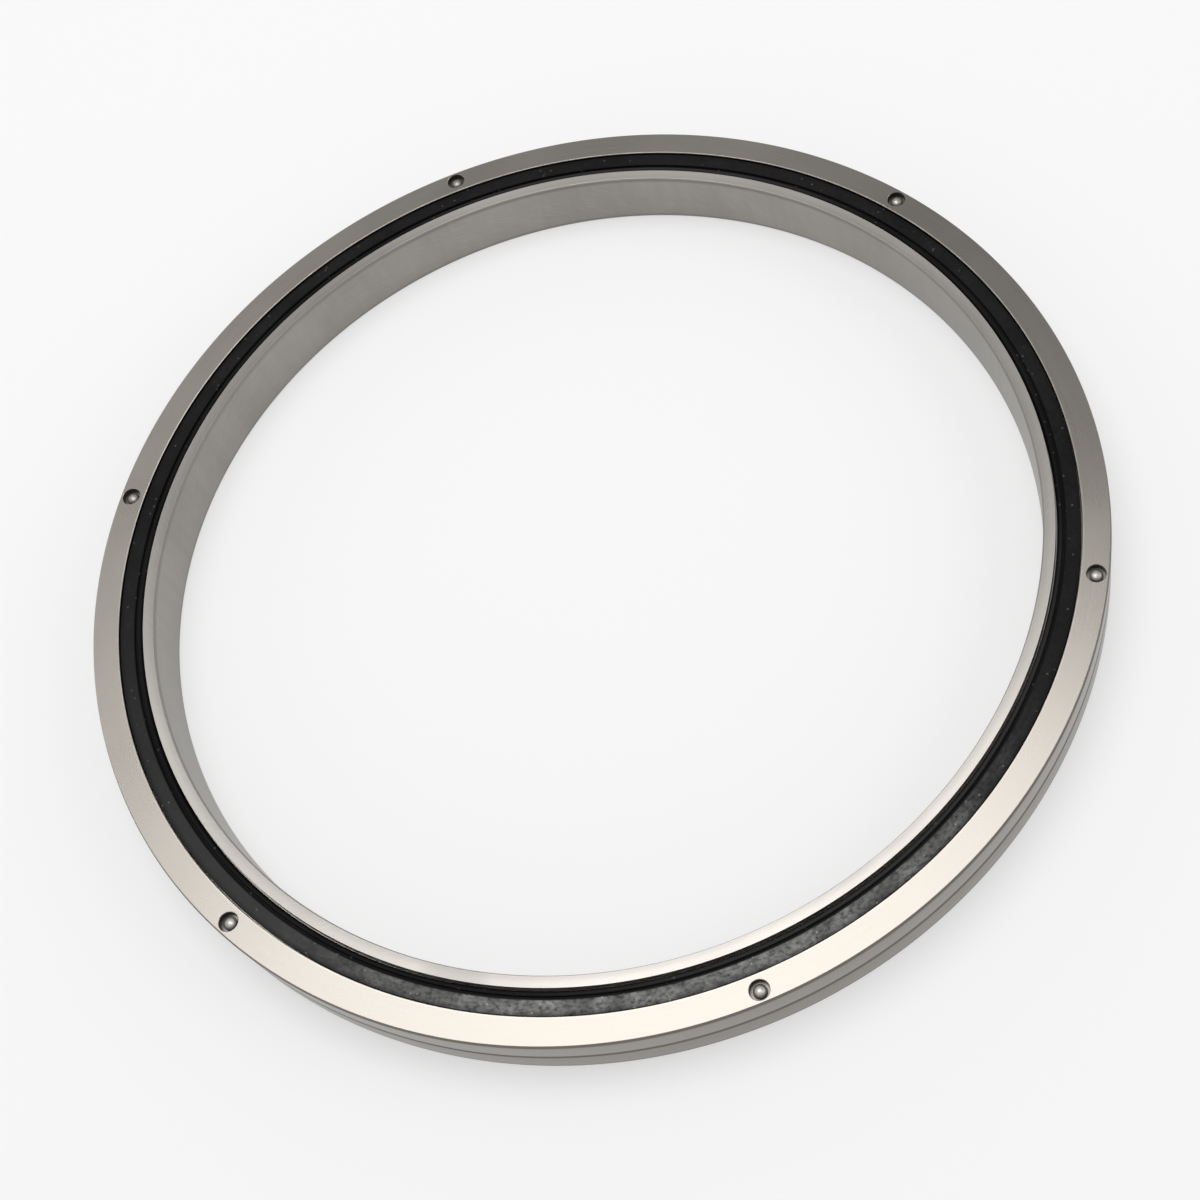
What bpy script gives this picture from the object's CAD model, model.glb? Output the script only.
"""The finished look of a thin section crossed roller bearing: two ground steel
rings, a rubber seal in each face, domed rivets, and the nylon cage with its
crossed rollers. The file is laid out as an add-on and is run as a script.

Outlines are (radius, height) points, with heights measured from the mid-plane
between the two faces, and every turned piece is spun from one of them."""

import math

import bmesh
import bpy
from bpy.props import (
    FloatProperty,
    FloatVectorProperty,
    IntProperty,
    PointerProperty,
)
from mathutils import Euler, Matrix, Vector


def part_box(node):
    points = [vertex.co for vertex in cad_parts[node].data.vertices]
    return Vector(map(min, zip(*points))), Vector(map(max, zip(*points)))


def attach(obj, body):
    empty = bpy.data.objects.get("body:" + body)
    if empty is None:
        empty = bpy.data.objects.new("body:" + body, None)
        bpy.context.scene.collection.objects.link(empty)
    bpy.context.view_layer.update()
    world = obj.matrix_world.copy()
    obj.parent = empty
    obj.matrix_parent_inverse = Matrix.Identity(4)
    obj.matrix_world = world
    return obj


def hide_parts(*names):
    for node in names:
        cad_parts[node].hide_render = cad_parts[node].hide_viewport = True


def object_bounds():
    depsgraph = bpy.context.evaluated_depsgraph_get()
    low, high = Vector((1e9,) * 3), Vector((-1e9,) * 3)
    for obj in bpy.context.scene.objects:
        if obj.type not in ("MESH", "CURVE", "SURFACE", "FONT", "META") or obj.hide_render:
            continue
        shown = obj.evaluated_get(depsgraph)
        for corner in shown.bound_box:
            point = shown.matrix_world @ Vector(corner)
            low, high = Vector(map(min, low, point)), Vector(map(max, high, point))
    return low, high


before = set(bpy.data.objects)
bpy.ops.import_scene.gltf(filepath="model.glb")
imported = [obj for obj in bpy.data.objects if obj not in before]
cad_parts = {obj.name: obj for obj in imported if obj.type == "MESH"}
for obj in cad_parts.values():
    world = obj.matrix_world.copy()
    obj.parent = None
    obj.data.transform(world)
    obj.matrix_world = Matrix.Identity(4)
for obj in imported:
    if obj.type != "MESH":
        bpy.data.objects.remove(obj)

bl_info = {
    "name": "Crossed Roller Bearing",
    "version": (1, 0, 0),
    "blender": (4, 5, 0),
    "location": "3D View > Sidebar > Bearing",
    "description": "Builds the pieces of a thin section crossed roller bearing and a plain stage",
    "category": "Object",
}

MM = 0.001

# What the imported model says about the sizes
CAD_LOW, CAD_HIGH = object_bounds()
RING_LOW, RING_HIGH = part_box("outer_ring_upper")
SEAL_LOW, SEAL_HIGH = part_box("upper_seal")
RIVET_LOW, RIVET_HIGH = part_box("rivet_1")
CAGE_LOW, CAGE_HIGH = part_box("cage")
MIDDLE = (CAD_LOW.z + CAD_HIGH.z) / 2

# How finely the turned pieces are spun
RING_STEPS = 360
ROLLER_STEPS = 28
RIVET_STEPS = 40
HOLE_STEPS = 48
FILLET_STEPS = 2
DOME_STEPS = 12
RING_SMOOTH_ANGLE = math.radians(12)
DOME_SMOOTH_ANGLE = math.radians(26)

# Points of an outline that are closer than this are one point
WELD_DISTANCE = 0.0001 * MM

# How far a cutter runs past the surface that it opens
CUTTER_OVERRUN = 0.5 * MM

# How far the edges of the cage and of the rollers are broken
CAGE_FILLET = 0.1 * MM
ROLLER_FILLET = 0.06 * MM

# How far the floor lies under the bearing, the nearest that the camera sees,
# and the width of its sensor in millimetres
FLOOR_GAP = 0.05 * MM
NEAREST = 10 * MM
SENSOR_WIDTH = 36.0

# The radius at which the marks of the turned grain have their given length
GRAIN_RADIUS = 100 * MM

# Outputs of the shared node groups that are no plain numbers
VECTOR_OUTPUTS = {"Around"}

# How far apart nodes are laid out
COLUMN_WIDTH = 220
ROW_HEIGHT = 260


def setting(kind, **fixed):
    """A function that makes such a property from a name, a description and a
    default."""
    return lambda name, description, default: kind(
        name=name, description=description, default=default, **fixed
    )


length = setting(FloatProperty, unit="LENGTH", subtype="DISTANCE")
position = setting(FloatVectorProperty, unit="LENGTH", subtype="TRANSLATION")
tint = setting(FloatVectorProperty, min=0.0, max=1.0, subtype="COLOR")
fraction = setting(FloatProperty, min=0.0, max=1.0, subtype="FACTOR")
power = setting(FloatProperty, unit="POWER")


class BearingRingSizes(bpy.types.PropertyGroup):
    """Sizes of the outer ring's two halves and of the inner ring."""

    outer_radius: length("Outer Radius", "Radius of the outer ring's outside wall", RING_HIGH.x)
    half_width: length(
        "Half Width", "Height of each face above or below the mid-plane", CAD_HIGH.z - MIDDLE
    )
    bore_radius: length("Bore Radius", "Radius of the inner ring's bore", 90.0 * MM)
    edge_depth: length(
        "Edge Chamfer Depth",
        "How far the steep chamfers at the rim and the bore cut into a face",
        0.25 * MM,
    )
    edge_length: length(
        "Edge Chamfer Length",
        "How far the steep chamfers at the rim and the bore run along the wall",
        0.6 * MM,
    )
    split_gap: length(
        "Split Gap",
        "Gap that shows where the outer ring's halves meet",
        RING_LOW.z * 2 - MIDDLE * 2,
    )
    split_depth: length(
        "Split Chamfer Depth", "How far the chamfers at the split cut into the halves", 0.2 * MM
    )
    split_length: length(
        "Split Chamfer Length",
        "How far each chamfer at the split runs along the outside wall",
        0.35 * MM,
    )
    seat_radius: length("Seal Seat Radius", "Radius of the wall round each seal", 97.5 * MM)
    seat_chamfer: length(
        "Seal Seat Chamfer", "Chamfer at the mouth of each seal's seat", 0.1 * MM
    )
    seat_floor: length("Seal Seat Floor", "Height of the floor under each seal's rim", 4.4 * MM)
    shoulder_radius: length(
        "Inner Shoulder Radius",
        "Radius of the inner ring's shoulder, which a seal's lip runs round",
        92.4 * MM,
    )
    shoulder_floor: length(
        "Inner Shoulder Floor", "Height of the inner ring's step under each lip", 4.3 * MM
    )
    outer_land: length(
        "Outer Land Radius", "Radius of the outer ring's lands beside its raceway", 96.3 * MM
    )
    inner_land: length(
        "Inner Land Radius", "Radius of the inner ring's lands beside its raceway", 94.5 * MM
    )
    raceway_depth: length(
        "Raceway Depth", "How far each raceway's flat lies from the roller circle", 3.639 * MM
    )
    raceway_half_width: length(
        "Raceway Half Width", "Half of a raceway's width at the lands", 2.989 * MM
    )
    raceway_flat: length(
        "Raceway Flat", "Half of the relief flat at the bottom of a raceway", 0.25 * MM
    )
    edge_fillet: length("Edge Fillet", "How far each sharp edge of a ring is broken", 0.04 * MM)


class BearingSealSizes(bpy.types.PropertyGroup):
    """Sizes of the two seals."""

    rim_radius: length("Rim Radius", "Outside radius of a seal", SEAL_HIGH.x)
    bottom: length("Bottom", "Height of a seal's inside face", SEAL_LOW.z - MIDDLE)
    top: length("Top", "Height of a seal's outside face", SEAL_HIGH.z - MIDDLE)
    groove_outside: length(
        "Groove Outside Radius", "Radius at which the groove beside the lip begins", 94.3 * MM
    )
    groove_depth: length("Groove Depth", "Depth of the groove beside the lip", 0.6 * MM)
    lip_outside: length("Lip Outside Radius", "Radius of the lip's outside wall", 93.7 * MM)
    lip_inside: length("Lip Inside Radius", "Radius at which the lip's crest ends", 93.1 * MM)
    lip_edge: length(
        "Lip Edge Radius", "Inside radius of a seal, beside the inner shoulder", 92.7 * MM
    )
    lip_drop: length("Lip Drop", "How far the lip's crest lies below the seal's face", 0.1 * MM)
    edge_fillet: length("Edge Fillet", "How far the moulded edges are rounded", 0.12 * MM)


class BearingRivetSizes(bpy.types.PropertyGroup):
    """Sizes of the rivets and of the holes that they stand in."""

    count: IntProperty(
        name="Count",
        description="How many rivets hold the outer ring together",
        default=6,
        min=1,
    )
    circle_radius: length(
        "Circle Radius",
        "Radius of the circle on which the rivets stand",
        (RIVET_LOW.x + RIVET_HIGH.x) / 2,
    )
    head_radius: length("Head Radius", "Radius of a rivet's head", 1.3 * MM)
    head_top: length("Head Top", "Height of the top of a rivet's dome", RIVET_HIGH.z - MIDDLE)
    dome_rise: length("Dome Rise", "Height of the dome on a rivet's head", 0.55 * MM)
    head_edge: length("Head Edge", "Height of the straight edge under the dome", 0.3 * MM)
    shank_radius: length("Shank Radius", "Radius of a rivet's shank", 0.75 * MM)
    hole_radius: length("Hole Radius", "Radius of the hole round a rivet's shank", 0.9 * MM)
    counterbore_radius: length(
        "Counterbore Radius", "Radius of the counterbore round a rivet's head", 1.9 * MM
    )
    counterbore_floor: length("Counterbore Floor", "Height of the counterbore's floor", 5.1 * MM)
    counterbore_chamfer: length(
        "Counterbore Chamfer", "Chamfer round the mouth of a counterbore", 0.08 * MM
    )


class BearingRollingSizes(bpy.types.PropertyGroup):
    """Sizes of the cage and its rollers."""

    circle_radius: length(
        "Roller Circle Radius", "Radius of the circle through the rollers' centres", 95.4 * MM
    )
    count: IntProperty(
        name="Count",
        description="How many rollers there are, each crossed to the last",
        default=44,
        min=2,
    )
    roller_radius: length("Roller Radius", "Radius of a roller", 2.5 * MM)
    roller_half_length: length("Roller Half Length", "Half of a roller's length", 2.3 * MM)
    roller_chamfer: length("Roller Chamfer", "Chamfer at each end of a roller", 0.35 * MM)
    lean: FloatProperty(
        name="Lean",
        description="Angle at which a roller leans from the bearing's axis",
        default=math.radians(45),
        unit="ROTATION",
        subtype="ANGLE",
    )
    cage_half_height: length(
        "Cage Half Height", "Half of the cage's height", (CAGE_HIGH.z - CAGE_LOW.z) / 2
    )
    cage_half_thickness: length(
        "Cage Half Thickness", "Half of the thickness of the cage's wall", 0.6 * MM
    )
    pocket_clearance: length(
        "Pocket Clearance", "Room between a roller and its pocket", 0.28 * MM
    )


class BearingFinishes(bpy.types.PropertyGroup):
    """Colours and polish of the pieces."""

    outer_steel: tint(
        "Outer Ring Steel", "Colour of the outer ring's ground steel", (0.345, 0.321, 0.291)
    )
    inner_steel: tint(
        "Inner Ring Steel", "Colour of the inner ring's ground steel", (0.386, 0.367, 0.342)
    )
    rivet_steel: tint("Rivet Steel", "Colour of the rivets", (0.6, 0.575, 0.535))
    roller_steel: tint("Roller Steel", "Colour of the polished rollers", (0.66, 0.65, 0.63))
    rubber: tint("Seal Rubber", "Colour of the seals' clean rubber", (0.006, 0.006, 0.0062))
    dust: tint("Dust", "Colour of the dry film and dust on the rubber", (0.42, 0.42, 0.41))
    nylon: tint("Cage Nylon", "Colour of the cage's nylon", (0.62, 0.56, 0.42))
    outer_roughness: fraction(
        "Outer Ring Roughness", "Roughness of the outer ring's ground faces", 0.27
    )
    inner_roughness: fraction(
        "Inner Ring Roughness", "Roughness of the inner ring's ground faces", 0.36
    )


class BearingStage(bpy.types.PropertyGroup):
    """The plain floor, the soft light and the camera."""

    floor_colour: tint("Floor Colour", "Colour of the plain floor", (0.9, 0.9, 0.9))
    floor_size: length("Floor Size", "Width of the floor", 8.0)
    room_colour: tint("Room Colour", "Colour of the room above the bearing", (0.45, 0.45, 0.45))
    horizon_colour: tint(
        "Horizon Colour", "Colour of the room near the horizon", (0.93, 0.93, 0.93)
    )
    lamp_location: position(
        "Softbox Location", "Centre of the softbox over the bearing", (-0.18, 0.145, 1.0)
    )
    lamp_width: length("Softbox Width", "Width of the softbox", 0.92)
    lamp_depth: length("Softbox Depth", "Depth of the softbox", 0.68)
    lamp_power: power("Softbox Power", "Power of the softbox", 4.52)
    fill_location: position(
        "Fill Location", "Centre of the large fill lamp at the right", (1.2, 0.32, 0.84)
    )
    fill_size: length("Fill Size", "Width of the fill lamp", 0.9)
    fill_power: power("Fill Power", "Power of the fill lamp", 3.0)
    camera_location: position(
        "Camera Location", "Where the camera stands", (0.114174, -0.172633, 0.335963)
    )
    camera_turn: FloatVectorProperty(
        name="Camera Turn",
        description="Which way the camera looks",
        default=[math.radians(turn) for turn in (28.8522, 8.2338, 9.6875)],
        unit="ROTATION",
        subtype="EULER",
    )
    camera_lens: FloatProperty(
        name="Camera Lens",
        description="Focal length in millimetres, on a sensor 36 mm wide",
        default=57.368,
        unit="CAMERA",
    )
    camera_shift: FloatVectorProperty(
        name="Camera Shift",
        description="Shift of the lens, as a share of the sensor's width",
        size=2,
        default=(-0.141667, -0.031667),
    )


def facing(side, outline):
    """The outline on the upper side, or mirrored onto the lower one."""
    return [(radius, side * height) for radius, height in outline]


def both_sides(upper):
    """An outline of the upper side, closed by its mirror image below."""
    return upper + facing(-1, reversed(upper))


def outer_ring_outline(sizes, rolling):
    """Half of the outer ring, from the split up to its face."""
    wall, top, split = sizes.outer_radius, sizes.half_width, sizes.split_gap / 2
    seat, floor, chamfer = sizes.seat_radius, sizes.seat_floor, sizes.seat_chamfer
    raceway = rolling.circle_radius + sizes.raceway_depth
    return [
        (raceway, split),
        (wall - sizes.split_depth, split),
        (wall, split + sizes.split_length),
        (wall, top - sizes.edge_length),
        (wall - sizes.edge_depth, top),
        (seat + chamfer, top),
        (seat, top - chamfer),
        (seat, floor),
        (sizes.outer_land, floor),
        (sizes.outer_land, sizes.raceway_half_width),
        (raceway, sizes.raceway_flat),
    ]


def inner_ring_outline(sizes, rolling):
    """The inner ring's section, with a raceway on its outside."""
    bore, top = sizes.bore_radius, sizes.half_width
    shoulder, floor = sizes.shoulder_radius, sizes.shoulder_floor
    upper = [
        (bore, top - sizes.edge_length),
        (bore + sizes.edge_depth, top),
        (shoulder, top),
        (shoulder, floor),
        (sizes.inner_land, floor),
        (sizes.inner_land, sizes.raceway_half_width),
        (rolling.circle_radius - sizes.raceway_depth, sizes.raceway_flat),
    ]
    return both_sides(upper)


def seal_outline(sizes):
    """A seal's section: a flat rim, a groove, and a thin lip with a leaning edge."""
    bottom, top = sizes.bottom, sizes.top
    floor, crest = top - sizes.groove_depth, top - sizes.lip_drop
    return [
        (sizes.rim_radius, bottom),
        (sizes.rim_radius, top),
        (sizes.groove_outside, top),
        (sizes.groove_outside, floor),
        (sizes.lip_outside, floor),
        (sizes.lip_outside, crest),
        (sizes.lip_inside, crest),
        (sizes.lip_edge, floor),
        (sizes.lip_edge, bottom),
    ]


def cage_outline(sizes):
    """A plain band that stands on the roller circle."""
    inside = sizes.circle_radius - sizes.cage_half_thickness
    outside = sizes.circle_radius + sizes.cage_half_thickness
    upper = [(inside, sizes.cage_half_height), (outside, sizes.cage_half_height)]
    return both_sides(upper)


def dome_corner(sizes):
    """Where the lines that touch a round dome at its top and its rim meet."""
    return (sizes.head_radius**2 + sizes.dome_rise**2) / (2 * sizes.head_radius)


def rivet_outline(sizes):
    """A shank with a head at each end. The top corner of a head becomes its dome."""
    dome_base = sizes.head_top - sizes.dome_rise
    head_base = dome_base - sizes.head_edge
    upper = [
        (0, sizes.head_top),
        (dome_corner(sizes), sizes.head_top),
        (sizes.head_radius, dome_base),
        (sizes.head_radius, head_base),
        (sizes.shank_radius, head_base),
    ]
    return both_sides(upper)


def rivet_hole_outline(side, sizes, rings):
    """The rivet's hole, from past the split, opening into the counterbore."""
    start, end = rings.split_gap / 2 - CUTTER_OVERRUN, rings.half_width + CUTTER_OVERRUN
    wall, floor, chamfer = (
        sizes.counterbore_radius,
        sizes.counterbore_floor,
        sizes.counterbore_chamfer,
    )
    outline = [
        (0, start),
        (sizes.hole_radius, start),
        (sizes.hole_radius, floor),
        (wall, floor),
        (wall, rings.half_width - chamfer),
        (wall + chamfer + CUTTER_OVERRUN, end),
        (0, end),
    ]
    return facing(side, outline)


def roller_outline(sizes):
    """A short cylinder with chamfered ends."""
    upper = [
        (0, sizes.roller_half_length),
        (sizes.roller_radius - sizes.roller_chamfer, sizes.roller_half_length),
        (sizes.roller_radius, sizes.roller_half_length - sizes.roller_chamfer),
    ]
    return both_sides(upper)


def pocket_outline(sizes):
    """The plain round bore of a cage pocket."""
    half_length = sizes.roller_half_length + sizes.pocket_clearance
    radius = sizes.roller_radius + sizes.pocket_clearance
    upper = [(0, half_length), (radius, half_length)]
    return both_sides(upper)


def rivet_places(sizes):
    """Where the rivets stand, round the outer ring."""
    out = Matrix.Translation((sizes.circle_radius, 0, 0))
    return [
        Matrix.Rotation(math.tau * index / sizes.count, 4, "Z") @ out
        for index in range(sizes.count)
    ]


def roller_places(sizes):
    """Rollers one after another round the circle, each crossed to the last."""
    places = []
    for index in range(sizes.count):
        angle = math.tau * index / sizes.count
        lean = sizes.lean if index % 2 == 0 else -sizes.lean
        turn = Euler((0, lean, angle)).to_matrix().to_4x4()
        out = Matrix.Rotation(angle, 4, "Z") @ Vector((sizes.circle_radius, 0, 0))
        places.append(Matrix.Translation(out) @ turn)
    return places


def shape_mesh(name, shape):
    """The mesh of a shape, which is used up."""
    mesh = bpy.data.meshes.new(name)
    shape.to_mesh(mesh)
    shape.free()
    return mesh


def bevelled(shape, corners, offset, offset_type, segments):
    """Rounds corners of a flat section."""
    bmesh.ops.bevel(
        shape,
        geom=corners,
        offset=offset,
        offset_type=offset_type,
        segments=segments,
        profile=0.5,
        affect="VERTICES",
        material=-1,
        clamp_overlap=offset_type == "OFFSET",
    )


def turned_mesh(name, outline, steps, fillet=0.0, dome_radius=0.0, smooth=RING_SMOOTH_ANGLE):
    """Spins an outline about Z, after its corners are broken by the fillet.
    With a dome radius, the highest and lowest corners there become domes."""
    shape = bmesh.new()
    corners = [shape.verts.new((radius, 0, height)) for radius, height in outline]
    section = shape.faces.new(corners)
    if dome_radius:
        top = max(height for radius, height in outline)
        tips = [
            vert
            for vert in corners
            if math.isclose(abs(vert.co.z), top, abs_tol=WELD_DISTANCE)
            and math.isclose(vert.co.x, dome_radius, abs_tol=WELD_DISTANCE)
        ]
        bevelled(shape, tips, 100, "PERCENT", DOME_STEPS)
    if fillet:
        edges = [vert for vert in shape.verts if vert.co.x > WELD_DISTANCE]
        bevelled(shape, edges, fillet, "OFFSET", FILLET_STEPS)
    bmesh.ops.remove_doubles(shape, verts=shape.verts, dist=WELD_DISTANCE)
    sections = shape.faces[:]
    lines = [
        edge for edge in shape.edges if max(vert.co.x for vert in edge.verts) > WELD_DISTANCE
    ]
    bmesh.ops.spin(
        shape,
        geom=lines + shape.verts[:],
        cent=(0, 0, 0),
        axis=(0, 0, 1),
        angle=math.tau,
        steps=steps,
        use_merge=True,
    )
    bmesh.ops.delete(shape, geom=sections, context="FACES")
    bmesh.ops.remove_doubles(shape, verts=shape.verts, dist=WELD_DISTANCE)
    bmesh.ops.recalc_face_normals(shape, faces=shape.faces)
    mesh = shape_mesh(name, shape)
    soften(mesh, smooth)
    return mesh


def soften(mesh, smooth):
    """Smooth shading, with every edge steeper than the angle kept crisp."""
    mesh.shade_smooth()
    mesh.set_sharp_from_angle(angle=smooth)


def copies(name, mesh, places):
    """One mesh with a copy of the given one, which is used up, at each place."""
    shape = bmesh.new()
    for place in places:
        copy = mesh.copy()
        copy.transform(place)
        shape.from_mesh(copy)
        bpy.data.meshes.remove(copy)
    bpy.data.meshes.remove(mesh)
    return shape_mesh(name, shape)


def cut(mesh, cutter, smooth):
    """The mesh less the cutter, both of which are used up."""
    name = mesh.name
    whole = bpy.data.objects.new(name, mesh)
    tool = bpy.data.objects.new(name + "_cutter", cutter)
    for thing in (whole, tool):
        bpy.context.scene.collection.objects.link(thing)
    modifier = whole.modifiers.new("cut", "BOOLEAN")
    modifier.operation = "DIFFERENCE"
    modifier.solver = "EXACT"
    modifier.object = tool
    bpy.context.view_layer.update()
    evaluated = whole.evaluated_get(bpy.context.evaluated_depsgraph_get())
    result = bpy.data.meshes.new_from_object(evaluated)
    for thing in (whole, tool):
        bpy.data.objects.remove(thing)
    for used in (mesh, cutter):
        bpy.data.meshes.remove(used)
    result.name = name
    if not result.polygons:
        raise RuntimeError(f"Cutting {name} left nothing")
    soften(result, smooth)
    return result


def put(name, data):
    """An object of this name in the scene, in place of an earlier one."""
    old = bpy.data.objects.get(name)
    if old:
        bpy.data.objects.remove(old)
    thing = bpy.data.objects.new(name, data)
    bpy.context.scene.collection.objects.link(thing)
    return thing


def add_piece(name, mesh, material, body, nodes):
    """Lifts a mesh from the mid-plane to its place and puts it on its body."""
    mesh.transform(Matrix.Translation((0, 0, MIDDLE)))
    mesh.materials.clear()
    mesh.materials.append(material)
    piece = put(name, mesh)
    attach(piece, body)
    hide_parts(*nodes)


def add_copies(label, mesh, places, material, body, node, slot):
    """Puts a copy of a mesh, which is used up, at each place. The label and
    the node's name are filled in with the number of the copy."""
    for index, spot in enumerate(places, start=1):
        copy = mesh.copy()
        copy.transform(spot)
        add_piece(label.format(index), copy, material, body, [node.format(index)])
    bpy.data.meshes.remove(mesh)


def place(tree, kind, **settings):
    """A new node with its settings."""
    node = tree.nodes.new(kind)
    for name, value in settings.items():
        setattr(node, name, value)
    return node


def feed(socket, value):
    """Gives a socket a constant, or links another socket to it."""
    if isinstance(value, bpy.types.NodeSocket):
        socket.id_data.links.new(value, socket)
    else:
        socket.default_value = value


def fed(kind, keys, *values, **settings):
    """The outputs of a new node with the values at the inputs with these keys.
    It goes into the tree of the first socket among the values."""
    sockets = (value for value in values if isinstance(value, bpy.types.NodeSocket))
    node = place(next(sockets).id_data, kind, **settings)
    for key, value in zip(keys, values):
        feed(node.inputs[key], value)
    return node.outputs


def maths(operation, *values):
    """The output of a Math node."""
    return fed("ShaderNodeMath", range(3), *values, operation=operation)[0]


def product(*factors):
    """Several factors multiplied together."""
    found = factors[0]
    for factor in factors[1:]:
        found = maths("MULTIPLY", found, factor)
    return found


def widest(*masks):
    """The highest of several masks."""
    found = masks[0]
    for other in masks[1:]:
        found = maths("MAXIMUM", found, other)
    return found


def scaled(value, factor, offset):
    """A value times a factor, plus an offset."""
    return maths("MULTIPLY_ADD", value, factor, offset)


def vector_maths(operation, *values):
    """The result of a Vector Math node, which is a vector or a number."""
    made = fed("ShaderNodeVectorMath", range(2), *values, operation=operation)
    return made["Value" if operation in {"LENGTH", "DOT_PRODUCT"} else "Vector"]


def parts(vector):
    """The X, Y and Z of a vector."""
    return fed("ShaderNodeSeparateXYZ", (0,), vector)


def object_place(tree):
    """Where a point is, in the object's own coordinates."""
    return place(tree, "ShaderNodeTexCoord").outputs["Object"]


def noise(*values):
    """The value of a Noise Texture with this vector, scale and detail."""
    keys = ("Vector", "Scale", "Detail")
    return fed("ShaderNodeTexNoise", keys, *values, noise_dimensions="3D")["Fac"]


def ramped(value, low, high, start=0.0, end=1.0):
    """The value from low to high, eased to the span from start to end."""
    keys = ("Value", "From Min", "From Max", "To Min", "To Max")
    span = (value, low, high, start, end)
    return fed("ShaderNodeMapRange", keys, *span, interpolation_type="SMOOTHSTEP")["Result"]


def fading(value, low, high):
    """1 where the value is below low, eased to 0 where it is above high."""
    return ramped(value, low, high, 1.0, 0.0)


def blended(share, first, second):
    """Two colours mixed by a share."""
    return fed("ShaderNodeMix", (0, 6, 7), share, first, second, data_type="RGBA")[2]


def shade(colour, scale=1.0):
    """A colour with its brightness scaled, as four numbers."""
    return (*[channel * scale for channel in colour], 1.0)


def toward(base, target, *shares):
    """The base blended towards a colour, by the product of the shares."""
    return blended(product(*shares), base, target)


def arrange(tree):
    """Sets the nodes out in columns, each to the left of what it feeds."""
    column = {}

    def settle(node, depth):
        if column.get(node.name, -1) < depth:
            column[node.name] = depth
            for socket in node.inputs:
                for link in socket.links:
                    settle(link.from_node, depth + 1)

    for node in tree.nodes:
        if node.type in {"OUTPUT_MATERIAL", "OUTPUT_WORLD", "GROUP_OUTPUT"}:
            settle(node, 0)
    heights = {}
    for node in tree.nodes:
        depth = column.get(node.name, 0)
        node.location = (-COLUMN_WIDTH * depth, -ROW_HEIGHT * heights.get(depth, 0))
        heights[depth] = heights.get(depth, 0) + 1


GROUP_BUILDERS = {}


def node_group(*outputs, **inputs):
    """Keeps the function that follows as the builder of a shared node group,
    which has float inputs and is named after the function."""

    def keep(build):
        GROUP_BUILDERS[build.__name__] = (build, inputs, outputs)
        return build

    return keep


def shared_group(name):
    """The node group of this name, built the first time it is asked for."""
    tree = bpy.data.node_groups.get(name)
    if tree is None:
        build, inputs, outputs = GROUP_BUILDERS[name]
        tree = bpy.data.node_groups.new(name, "ShaderNodeTree")
        for label, default in inputs.items():
            socket = tree.interface.new_socket(
                name=label.replace("_", " "), in_out="INPUT", socket_type="NodeSocketFloat"
            )
            socket.default_value = default
        for label in outputs:
            kind = "NodeSocketVector" if label in VECTOR_OUTPUTS else "NodeSocketFloat"
            tree.interface.new_socket(name=label, in_out="OUTPUT", socket_type=kind)
        given = place(tree, "NodeGroupInput").outputs
        made = place(tree, "NodeGroupOutput").inputs
        for socket, value in zip(made, build(tree, given)):
            feed(socket, value)
        arrange(tree)
    return tree


def use_group(tree, group, **values):
    """The outputs of a node group placed in a tree with its own values."""
    node = place(tree, "ShaderNodeGroup", node_tree=shared_group(group))
    for name, value in values.items():
        feed(node.inputs[name.replace("_", " ")], value)
    return node.outputs


def mask(tree, group, **values):
    """The first output of a node group placed in a tree."""
    return use_group(tree, group, **values)[0]


@node_group("Radius", "Height", "Around", Middle=MIDDLE)
def turned_place(tree, given):
    """Where a point is on a turned piece: its radius, its height from the
    mid-plane, and its direction round the axis."""
    where = object_place(tree)
    flat = vector_maths("MULTIPLY", where, (1, 1, 0))
    height = maths("SUBTRACT", parts(where)["Z"], given["Middle"])
    return vector_maths("LENGTH", flat), height, vector_maths("NORMALIZE", flat)


@node_group("Side", Direction=0.0, Spread=1.0)
def one_side(tree, given):
    """A soft mask round one direction from the axis, as wide as the spread."""
    direction = given["Direction"]
    pointer = fed(
        "ShaderNodeCombineXYZ", (0, 1), maths("COSINE", direction), maths("SINE", direction)
    )["Vector"]
    turn = vector_maths("DOT_PRODUCT", use_group(tree, "turned_place")["Around"], pointer)
    return [ramped(turn, maths("COSINE", given["Spread"]), 1.0)]


@node_group("Grain", Around_Size=10 * MM, Across_Size=0.2 * MM, Slant=0.0, Detail=2.0)
def turned_grain(tree, given):
    """Marks of a given length round the axis and width across it."""
    spot = use_group(tree, "turned_place")
    turns = maths("DIVIDE", GRAIN_RADIUS, given["Around Size"])
    around = vector_maths("MULTIPLY", spot["Around"], turns)
    way = parts(spot["Around"])
    across = maths("ADD", spot["Radius"], spot["Height"])
    slanted = scaled(maths("SUBTRACT", way["X"], way["Y"]), given["Slant"], across)
    level = fed("ShaderNodeCombineXYZ", (2,), maths("DIVIDE", slanted, given["Across Size"]))
    return [noise(vector_maths("ADD", around, level["Vector"]), 1.0, given["Detail"])]


@node_group("Cloud", Size=30 * MM, Detail=3.0, Low=0.35, High=0.65)
def clouding(tree, given):
    """Broad soft patches of a given size."""
    scale = maths("DIVIDE", 1.0, given["Size"])
    patches = noise(object_place(tree), scale, given["Detail"])
    return [ramped(patches, given["Low"], given["High"])]


def from_edge(tree, given):
    """How far a point lies from a turned edge: out from it, and above it."""
    spot = use_group(tree, "turned_place")
    height = maths("ABSOLUTE", spot["Height"])
    beside = maths("SUBTRACT", spot["Radius"], given["Radius"])
    return beside, maths("SUBTRACT", height, given["Height"])


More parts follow.
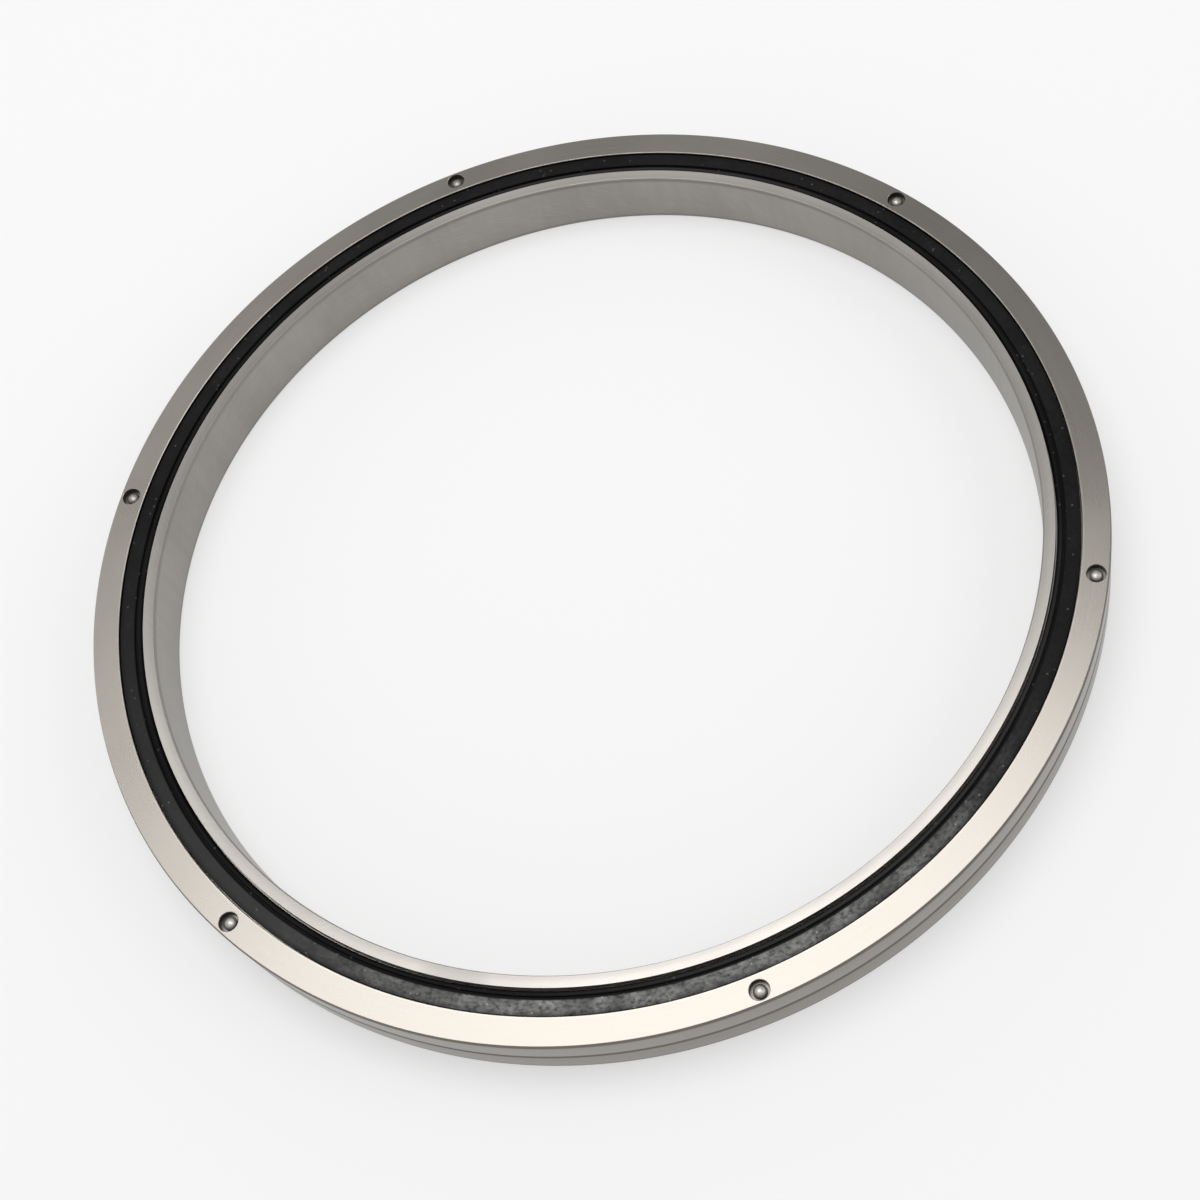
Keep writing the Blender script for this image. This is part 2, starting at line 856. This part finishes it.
@node_group("Corner", Radius=100 * MM, Height=6 * MM, Depth=0.2 * MM, Length=0.2 * MM)
def rough_corner(tree, given):
    """The face of a chamfer at a turned corner, which grinding never reached,
    fading out a little way past it."""
    beside, above = from_edge(tree, given)
    across = maths("DIVIDE", maths("ABSOLUTE", beside), given["Depth"])
    along = maths("DIVIDE", maths("ABSOLUTE", above), given["Length"])
    return [product(fading(across, 0.94, 1.02), fading(along, 0.7, 2.3))]


@node_group("Wear", Radius=100 * MM, Height=6 * MM, Reach=0.4 * MM)
def worn_edge(tree, given):
    """Wear along a turned edge at a given radius and height, broken up."""
    beside, above = from_edge(tree, given)
    squares = maths("ADD", product(beside, beside), product(above, above))
    near = fading(maths("SQRT", squares), 0.0, given["Reach"])
    cloud = mask(tree, "clouding", Size=4 * MM, Detail=4.0, Low=0.3, High=0.7)
    return [product(near, scaled(cloud, 0.6, 0.4))]


@node_group("Scratch", Length=6 * MM, Width=0.12 * MM, Slant=0.02, Amount=0.3)
def fine_scratches(tree, given):
    """Short sparse scratches, which run nearly round the axis."""
    size = {"Around_Size": given["Length"], "Across_Size": given["Width"]}
    grain = mask(tree, "turned_grain", **size, Slant=given["Slant"], Detail=0.0)
    crest = maths("SUBTRACT", 1.0, given["Amount"])
    return [ramped(grain, maths("SUBTRACT", crest, 0.05), crest)]


@node_group("Film", "Specks", Length=4 * MM, Width=0.6 * MM, Cover=0.5, Speck_Size=1.2 * MM)
def dry_film(tree, given):
    """Streaks and specks of dust that lie along the turning direction."""
    size = {"Around_Size": given["Length"], "Across_Size": given["Width"]}
    grain = mask(tree, "turned_grain", **size, Detail=5.0)
    edge = maths("SUBTRACT", 0.75, product(given["Cover"], 0.5))
    streaks = ramped(grain, maths("SUBTRACT", edge, 0.3), maths("ADD", edge, 0.2))
    patches = mask(tree, "clouding", Size=6 * MM, Detail=4.0, Low=0.3, High=0.7)
    film = product(streaks, scaled(patches, 0.7, 0.3))

    density = maths("DIVIDE", 1.0, given["Speck Size"])
    keys = ("Vector", "Scale")
    cells = fed("ShaderNodeTexVoronoi", keys, object_place(tree), density, feature="F1")
    dots = fading(cells["Distance"], 0.1, 0.24)
    chosen = maths("GREATER_THAN", parts(cells["Color"])["X"], 0.8)
    return film, product(dots, chosen)


def sides(tree, *given):
    """The highest of soft masks, each a direction, a spread and a share."""
    masks = []
    for direction, spread, share in given:
        turns = {"Direction": math.radians(direction), "Spread": math.radians(spread)}
        masks.append(product(mask(tree, "one_side", **turns), share))
    return widest(*masks)


def chamfer(tree, radius, height, depth, length):
    """The mask of a chamfer's face."""
    return mask(tree, "rough_corner", Radius=radius, Height=height, Depth=depth, Length=length)


def fresh_material(name):
    """A material with a lone surface shader, emptied first if it is there."""
    material = bpy.data.materials.get(name) or bpy.data.materials.new(name)
    material.use_nodes = True
    tree = material.node_tree
    tree.nodes.clear()
    shader = place(tree, "ShaderNodeBsdfPrincipled")
    output = place(tree, "ShaderNodeOutputMaterial")
    tree.links.new(shader.outputs["BSDF"], output.inputs["Surface"])
    return material, tree, shader.inputs


def dress(surface, colour, roughness, height, strength, distance, metallic=0.0):
    """Feeds a surface its colour, its roughness and its relief."""
    feed(surface["Base Color"], colour)
    feed(surface["Roughness"], roughness)
    surface["Metallic"].default_value = metallic
    keys = ("Height", "Strength", "Distance")
    feed(surface["Normal"], fed("ShaderNodeBump", keys, height, strength, distance)["Normal"])
    arrange(colour.id_data)


def outer_steel_material(finishes, sizes, rivets):
    """Ground steel with a faint lay and bright worn seat edges, whose face is
    paler on one side and darker on another. The chamfers and the counterbores
    keep the dull dark skin of the unground blank."""
    material, tree, surface = fresh_material("outer_ring_steel")
    colour = finishes.outer_steel
    top, wall = sizes.half_width, sizes.outer_radius
    lay = mask(tree, "turned_grain", Around_Size=25 * MM, Across_Size=0.8 * MM)
    cloud = mask(tree, "clouding", Size=20 * MM)
    scratch = mask(tree, "fine_scratches", Amount=0.26)
    seat = sizes.seat_radius + sizes.seat_chamfer / 2
    wear = mask(tree, "worn_edge", Radius=seat, Height=top, Reach=0.42 * MM)
    rim = chamfer(tree, wall, top, sizes.edge_depth, sizes.edge_length)
    split = chamfer(tree, wall, sizes.split_gap / 2, sizes.split_depth, sizes.split_length)
    corners = widest(rim, split)

    # The counterbores are what lies under the face, clear of seat and rim
    spot = use_group(tree, "turned_place")
    sunk = maths("SUBTRACT", top, maths("ABSOLUTE", spot["Height"]))
    floor_depth = top - rivets.counterbore_floor
    above_floor = maths("LESS_THAN", sunk, floor_depth - 0.05 * MM)
    past_seat = maths("GREATER_THAN", spot["Radius"], sizes.seat_radius + 0.3 * MM)
    inside_rim = maths("LESS_THAN", spot["Radius"], wall - 0.3 * MM)
    bored = product(
        ramped(sunk, 0.12 * MM, 0.3 * MM),
        past_seat,
        inside_rim,
        scaled(above_floor, 0.45, 0.55),
    )

    tone = scaled(lay, 0.4, product(cloud, 0.6))
    face = blended(tone, shade(colour, 0.965), shade(colour, 1.035))
    face = toward(face, shade(colour, 1.4), sides(tree, (180, 55, 0.5)))
    face = toward(face, shade(colour, 0.56), sides(tree, (38, 42, 0.5)))
    turned = blended(tone, shade(colour, 0.77), shade(colour, 0.85))
    on_wall = maths("GREATER_THAN", spot["Radius"], wall - 0.05 * MM)
    base = blended(on_wall, face, turned)
    base = toward(base, shade(colour, 0.8), scratch, 0.12)
    base = toward(base, shade(colour, 1.5), wear, 0.7)
    skin = widest(product(corners, 0.7), product(bored, 0.88))
    base = toward(base, shade(colour, 0.3), skin)
    rough = scaled(lay, 0.03, finishes.outer_roughness - 0.015)
    rough = scaled(widest(corners, bored), 0.2, rough)
    rough = scaled(cloud, 0.02, rough)
    height = maths("SUBTRACT", lay, product(scratch, 0.6))
    dress(surface, base, rough, height, strength=0.004, distance=0.03 * MM, metallic=1.0)
    return material


def inner_steel_material(finishes, sizes):
    """Ground steel, duller than the outer ring's. The face is brightest beside
    the lip and uneven round the ring, and the bore has faint streaks. The
    bore's chamfers are a little darker, most of all on one side."""
    material, tree, surface = fresh_material("inner_ring_steel")
    colour = finishes.inner_steel
    radius = use_group(tree, "turned_place")["Radius"]
    bore, top, shoulder = sizes.bore_radius, sizes.half_width, sizes.shoulder_radius
    depth = sizes.edge_depth
    in_bore = fading(radius, bore + depth * 0.4, bore + depth * 0.6)
    lay = mask(tree, "turned_grain", Around_Size=25 * MM, Across_Size=0.8 * MM)
    streaks = mask(
        tree, "turned_grain", Around_Size=2.2 * MM, Across_Size=12 * MM, Detail=3.0
    )
    cloud = mask(tree, "clouding", Size=20 * MM)
    scratch = mask(tree, "fine_scratches", Length=4 * MM, Slant=0.06)
    wear = mask(tree, "worn_edge", Radius=shoulder, Height=top, Reach=0.2 * MM)
    corner = chamfer(tree, bore, top, depth, sizes.edge_length)
    grain = fed("ShaderNodeMix", (0, 2, 3), in_bore, lay, streaks, data_type="FLOAT")[0]

    tone = scaled(grain, 0.6, product(cloud, 0.4))
    spread = maths("ADD", in_bore, 0.4)
    contrast = scaled(maths("SUBTRACT", tone, 0.5), spread, 0.5)
    ground = blended(contrast, shade(colour, 0.9), shade(colour, 1.1))
    bored = blended(contrast, shade(colour, 0.71), shade(colour, 0.88))
    base = blended(in_bore, ground, bored)
    rubbed = ramped(radius, bore + 0.4 * MM, shoulder - 0.5 * MM)
    low = toward(base, shade(colour, 0.86), 0.5)
    high = toward(base, shade(colour, 1.24), 0.5)
    face = blended(rubbed, low, high)
    face = toward(face, shade(colour, 1.5), sides(tree, (100, 38, 0.5)))
    less = sides(tree, (170, 50, 0.5), (18, 42, 0.43), (-112, 38, 0.28))
    face = toward(face, shade(colour, 0.56), less)
    base = blended(in_bore, face, base)
    base = toward(base, shade(colour, 1.3), scratch, 0.2)
    base = toward(base, shade(colour, 1.3), wear, 0.5)
    darker = maths("ADD", sides(tree, (100, 50, 0.28)), 0.17)
    base = toward(base, shade(colour, 0.4), corner, darker)
    on_face = maths("SUBTRACT", 1.0, in_bore)
    base = toward(base, shade(colour, 0.4), sides(tree, (-93, 5, 0.3)), on_face)
    rough = scaled(grain, 0.05, finishes.inner_roughness - 0.025)
    rough = scaled(corner, 0.15, rough)
    rough = scaled(cloud, 0.03, rough)
    height = maths("SUBTRACT", grain, product(scratch, 0.6))
    dress(surface, base, rough, height, strength=0.01, distance=0.03 * MM, metallic=1.0)
    return material


def rubber_material(finishes, sizes):
    """Black moulded rubber. A streaky dry film and dust lie on one side of the
    flat rim, with an even haze beyond them and a fainter one on the lip's
    crest. The groove stays black."""
    material, tree, surface = fresh_material("seal_rubber")
    colour, dust = finishes.rubber, shade(finishes.dust)
    radius = use_group(tree, "turned_place")["Radius"]
    dry = use_group(tree, "dry_film", Length=0.95 * MM, Width=0.6 * MM, Cover=0.56)
    film, specks = dry["Film"], dry["Specks"]
    grain = mask(
        tree, "turned_grain", Around_Size=0.6 * MM, Across_Size=0.3 * MM, Detail=3.0
    )
    cloud = mask(tree, "clouding", Size=20 * MM)
    groove, rim = sizes.groove_outside, sizes.rim_radius
    on_rim = ramped(radius, groove, groove + 0.4 * MM)
    near_edge = ramped(radius, rim - 1.2 * MM, rim, 1.0, 0.45)
    bare = product(on_rim, near_edge)
    thick = maths("POWER", sides(tree, (-68, 62, 1.0)), 3.0)
    share = product(scaled(thick, 0.76, 0.02), bare)
    haze = product(sides(tree, (-92, 82, 0.075)), bare)
    within = maths("LESS_THAN", radius, sizes.lip_outside)
    beyond = ramped(radius, sizes.lip_edge, sizes.lip_inside)
    lip = product(within, beyond, sides(tree, (-38, 52, 0.05), (95, 36, 0.05)))
    base = blended(cloud, shade(colour, 0.8), shade(colour, 1.25))
    base = toward(base, dust, widest(haze, lip))
    base = toward(base, dust, film, share)
    speckled = scaled(share, 0.4, 0.09)
    base = toward(base, shade(finishes.dust, 1.5), specks, speckled)
    surface["Specular IOR Level"].default_value = 0.07
    rough = scaled(film, 0.15, scaled(grain, 0.12, 0.4))
    height = scaled(film, 0.5, grain)
    dress(surface, base, rough, height, strength=0.2, distance=0.04 * MM)
    return material


def rivet_steel_material(finishes, sizes):
    """Bright pressed steel, with a darker skin low on the head. The heads on
    one side of the ring are duller."""
    material, tree, surface = fresh_material("rivet_steel")
    colour = finishes.rivet_steel
    height = maths("ABSOLUTE", use_group(tree, "turned_place")["Height"])
    top, rise = sizes.head_top, sizes.dome_rise
    skin = fading(height, top - rise * 0.75, top - rise * 0.22)
    pits = mask(tree, "clouding", Size=0.5 * MM, Detail=4.0, Low=0.3, High=0.7)
    cloud = mask(tree, "clouding", Size=3 * MM)
    base = blended(cloud, shade(colour, 0.88), shade(colour, 1.1))
    base = toward(base, shade(colour, 0.4), sides(tree, (120, 119, 0.75)))
    base = toward(base, shade(colour, 0.25), skin, 0.75)
    rough = scaled(skin, 0.25, scaled(pits, 0.12, 0.34))
    dress(surface, base, rough, pits, strength=0.15, distance=0.03 * MM, metallic=1.0)
    return material


def roller_steel_material(finishes):
    """Polished bearing steel with a trace of oil clouding."""
    material, tree, surface = fresh_material("roller_steel")
    colour = finishes.roller_steel
    cloud = mask(tree, "clouding", Size=4 * MM)
    lines = mask(tree, "clouding", Size=0.4 * MM, Detail=2.0)
    base = blended(cloud, shade(colour, 0.94), shade(colour, 1.05))
    rough = scaled(cloud, 0.06, 0.08)
    dress(surface, base, rough, lines, strength=0.04, distance=0.01 * MM, metallic=1.0)
    return material


def nylon_material(finishes):
    """Moulded nylon with a faint flow pattern."""
    material, tree, surface = fresh_material("cage_nylon")
    colour = finishes.nylon
    flow = mask(tree, "turned_grain", Around_Size=8 * MM, Across_Size=1.2 * MM)
    skin = mask(tree, "clouding", Size=0.6 * MM, Detail=3.0)
    base = blended(flow, shade(colour, 0.88), shade(colour, 1.08))
    dress(surface, base, scaled(skin, 0.12, 0.44), skin, strength=0.1, distance=0.03 * MM)
    return material


class BEARING_OT_outer_ring(bpy.types.Operator):
    """Turn the outer ring's two halves and cut their counterbored rivet holes"""

    bl_idname = "bearing.outer_ring"
    bl_label = "Outer Ring"
    bl_options = {"REGISTER", "UNDO"}

    def execute(self, context):
        scene = context.scene
        rings, rivets = scene.bearing_rings, scene.bearing_rivets
        steel = outer_steel_material(scene.bearing_finishes, rings, rivets)
        for name, node, side in (
            ("upper_outer_ring", "outer_ring_upper", 1),
            ("lower_outer_ring", "outer_ring_lower", -1),
        ):
            outline = facing(side, outer_ring_outline(rings, scene.bearing_rolling))
            ring = turned_mesh(name, outline, RING_STEPS, rings.edge_fillet)
            hole = turned_mesh("hole", rivet_hole_outline(side, rivets, rings), HOLE_STEPS)
            holes = copies(name + "_holes", hole, rivet_places(rivets))
            drilled = cut(ring, holes, RING_SMOOTH_ANGLE)
            add_piece(name, drilled, steel, "outer_race", [node])
        return {"FINISHED"}


class BEARING_OT_inner_ring(bpy.types.Operator):
    """Turn the inner ring with its raceway and shoulders"""

    bl_idname = "bearing.inner_ring"
    bl_label = "Inner Ring"
    bl_options = {"REGISTER", "UNDO"}

    def execute(self, context):
        scene = context.scene
        rings = scene.bearing_rings
        steel = inner_steel_material(scene.bearing_finishes, rings)
        outline = inner_ring_outline(rings, scene.bearing_rolling)
        ring = turned_mesh("one_piece_inner_ring", outline, RING_STEPS, rings.edge_fillet)
        add_piece(ring.name, ring, steel, "inner_race", ["inner_ring"])
        return {"FINISHED"}


class BEARING_OT_seals(bpy.types.Operator):
    """Mould the seal in each face"""

    bl_idname = "bearing.seals"
    bl_label = "Seals"
    bl_options = {"REGISTER", "UNDO"}

    def execute(self, context):
        scene = context.scene
        sizes = scene.bearing_seals
        rubber = rubber_material(scene.bearing_finishes, sizes)
        for name, node, side in (
            ("upper_lip_seal", "upper_seal", 1),
            ("lower_lip_seal", "lower_seal", -1),
        ):
            outline = facing(side, seal_outline(sizes))
            seal = turned_mesh(name, outline, RING_STEPS, sizes.edge_fillet)
            add_piece(name, seal, rubber, "outer_race", [node])
        return {"FINISHED"}


class BEARING_OT_rivets(bpy.types.Operator):
    """Form the rivets, with a domed head at each end"""

    bl_idname = "bearing.rivets"
    bl_label = "Rivets"
    bl_options = {"REGISTER", "UNDO"}

    def execute(self, context):
        scene = context.scene
        sizes = scene.bearing_rivets
        steel = rivet_steel_material(scene.bearing_finishes, sizes)
        rivet = turned_mesh(
            "rivet",
            rivet_outline(sizes),
            RIVET_STEPS,
            dome_radius=dome_corner(sizes),
            smooth=DOME_SMOOTH_ANGLE,
        )
        where = ("outer_race", "rivet_{}", "rivet_steel")
        add_copies("domed_rivet_{}", rivet, rivet_places(sizes), steel, *where)
        return {"FINISHED"}


class BEARING_OT_cage(bpy.types.Operator):
    """Mould the cage, with a leaning pocket for each roller"""

    bl_idname = "bearing.cage"
    bl_label = "Cage"
    bl_options = {"REGISTER", "UNDO"}

    def execute(self, context):
        scene = context.scene
        sizes = scene.bearing_rolling
        nylon = nylon_material(scene.bearing_finishes)
        band = turned_mesh("pocketed_cage", cage_outline(sizes), RING_STEPS, CAGE_FILLET)
        pocket = turned_mesh("pocket", pocket_outline(sizes), HOLE_STEPS)
        pockets = copies("pockets", pocket, roller_places(sizes))
        cage = cut(band, pockets, RING_SMOOTH_ANGLE)
        add_piece("pocketed_cage", cage, nylon, "roller_set", ["cage"])
        return {"FINISHED"}


class BEARING_OT_rollers(bpy.types.Operator):
    """Set a crossed roller in each of the cage's pockets"""

    bl_idname = "bearing.rollers"
    bl_label = "Rollers"
    bl_options = {"REGISTER", "UNDO"}

    def execute(self, context):
        scene = context.scene
        sizes = scene.bearing_rolling
        steel = roller_steel_material(scene.bearing_finishes)
        roller = turned_mesh(
            "roller",
            roller_outline(sizes),
            ROLLER_STEPS,
            ROLLER_FILLET,
            smooth=DOME_SMOOTH_ANGLE,
        )
        where = ("roller_set", "roller_{:02d}", "roller_steel")
        add_copies("crossed_roller_{:02d}", roller, roller_places(sizes), steel, *where)
        return {"FINISHED"}


class BEARING_OT_stage(bpy.types.Operator):
    """Lay the floor, hang the softbox and set up the camera"""

    bl_idname = "bearing.stage"
    bl_label = "Stage"
    bl_options = {"REGISTER", "UNDO"}

    def execute(self, context):
        stage = context.scene.bearing_stage
        lay_floor(stage)
        light_room(context.scene, stage)
        set_camera(context.scene, stage)
        context.scene.view_settings.view_transform = "Standard"
        return {"FINISHED"}


def floor_material(stage):
    """Matt pale paint. Half of what the camera and the metal see of it is
    plain white, so it stays pale and still keeps the bearing's shadow. Far
    from the bearing it turns to the colour of the horizon."""
    material, tree, surface = fresh_material("floor_paint")
    surface["Base Color"].default_value = shade(stage.floor_colour)
    surface["Roughness"].default_value = 0.9
    surface["Specular IOR Level"].default_value = 0.0
    paint = surface["Base Color"].node.outputs["BSDF"]
    output = paint.links[0].to_node
    rays = place(tree, "ShaderNodeLightPath").outputs
    seen = widest(*[rays[f"Is {kind} Ray"] for kind in ("Camera", "Glossy", "Transmission")])
    far = ramped(vector_maths("LENGTH", object_place(tree)), 0.5, 2.2)
    glow = blended(far, shade((1.0, 1.0, 1.0)), shade(stage.horizon_colour))
    white = fed("ShaderNodeEmission", ("Color",), glow)["Emission"]
    share = product(seen, scaled(far, 0.5, 0.5))
    mixed = fed("ShaderNodeMixShader", range(3), share, paint, white)["Shader"]
    feed(output.inputs["Surface"], mixed)
    arrange(tree)
    return material


def lay_floor(stage):
    """A plain pale floor just under the bearing."""
    shape = bmesh.new()
    bmesh.ops.create_grid(shape, x_segments=1, y_segments=1, size=stage.floor_size / 2)
    mesh = shape_mesh("floor", shape)
    mesh.materials.append(floor_material(stage))
    floor = put("floor", mesh)
    floor.location.z = CAD_LOW.z - FLOOR_GAP


def hang_lamp(name, shape, width, energy, location):
    """An area lamp that faces down, and its light."""
    light = bpy.data.lights.new(name, "AREA")
    light.shape = shape
    light.size = width
    light.energy = energy
    lamp = put(name, light)
    lamp.location = location
    return lamp, light


def light_room(scene, stage):
    """A softbox overhead and a fill lamp at the side, in a grey room that is
    paler towards the horizon."""
    softbox = (stage.lamp_width, stage.lamp_power, stage.lamp_location)
    lamp, light = hang_lamp("softbox", "ELLIPSE", *softbox)
    light.size_y = stage.lamp_depth
    lamp, light = hang_lamp(
        "fill", "DISK", stage.fill_size, stage.fill_power, stage.fill_location
    )
    lamp.rotation_euler = lamp.location.to_track_quat("Z", "Y").to_euler()

    world = bpy.data.worlds.get("room") or bpy.data.worlds.new("room")
    world.use_nodes = True
    tree = world.node_tree
    tree.nodes.clear()
    direction = place(tree, "ShaderNodeTexCoord").outputs["Generated"]
    climb = ramped(parts(direction)["Z"], 0.3, 0.6)
    colour = blended(climb, shade(stage.horizon_colour), shade(stage.room_colour))
    shown = fed("ShaderNodeBackground", ("Color",), colour)["Background"]
    fed("ShaderNodeOutputWorld", ("Surface",), shown)
    arrange(tree)
    scene.world = world


def set_camera(scene, stage):
    """The camera at the calibrated view."""
    data = bpy.data.cameras.new("camera")
    data.sensor_width = SENSOR_WIDTH
    data.lens = stage.camera_lens
    data.shift_x, data.shift_y = stage.camera_shift
    data.clip_start = NEAREST
    camera = put("camera", data)
    camera.location = stage.camera_location
    camera.rotation_euler = Euler(stage.camera_turn)
    scene.camera = camera


OPERATORS = (
    BEARING_OT_outer_ring,
    BEARING_OT_inner_ring,
    BEARING_OT_seals,
    BEARING_OT_rivets,
    BEARING_OT_cage,
    BEARING_OT_rollers,
    BEARING_OT_stage,
)


class BEARING_PT_pieces(bpy.types.Panel):
    """Buttons that build the bearing's pieces and the stage"""

    bl_idname = "BEARING_PT_pieces"
    bl_label = "Crossed Roller Bearing"
    bl_space_type = "VIEW_3D"
    bl_region_type = "UI"
    bl_category = "Bearing"

    def draw(self, context):
        column = self.layout.column(align=True)
        for operator in OPERATORS:
            column.operator(operator.bl_idname)
        for name, (label, group) in PROPERTY_GROUPS.items():
            box = self.layout.box()
            box.label(text=label)
            for setting in group.__annotations__:
                box.prop(getattr(context.scene, name), setting)


PROPERTY_GROUPS = {
    "bearing_rings": ("Rings", BearingRingSizes),
    "bearing_seals": ("Seals", BearingSealSizes),
    "bearing_rivets": ("Rivets", BearingRivetSizes),
    "bearing_rolling": ("Cage and Rollers", BearingRollingSizes),
    "bearing_finishes": ("Finishes", BearingFinishes),
    "bearing_stage": ("Stage", BearingStage),
}


def register():
    for name, (label, group) in PROPERTY_GROUPS.items():
        bpy.utils.register_class(group)
        setattr(bpy.types.Scene, name, PointerProperty(type=group))
    for operator in OPERATORS:
        bpy.utils.register_class(operator)
    bpy.utils.register_class(BEARING_PT_pieces)


def unregister():
    bpy.utils.unregister_class(BEARING_PT_pieces)
    for operator in reversed(OPERATORS):
        bpy.utils.unregister_class(operator)
    for name, (label, group) in reversed(PROPERTY_GROUPS.items()):
        delattr(bpy.types.Scene, name)
        bpy.utils.unregister_class(group)


def main():
    register()
    bpy.ops.bearing.outer_ring()
    bpy.ops.bearing.inner_ring()
    bpy.ops.bearing.seals()
    bpy.ops.bearing.rivets()
    bpy.ops.bearing.cage()
    bpy.ops.bearing.rollers()
    bpy.ops.bearing.stage()


if __name__ == "__main__":
    main()
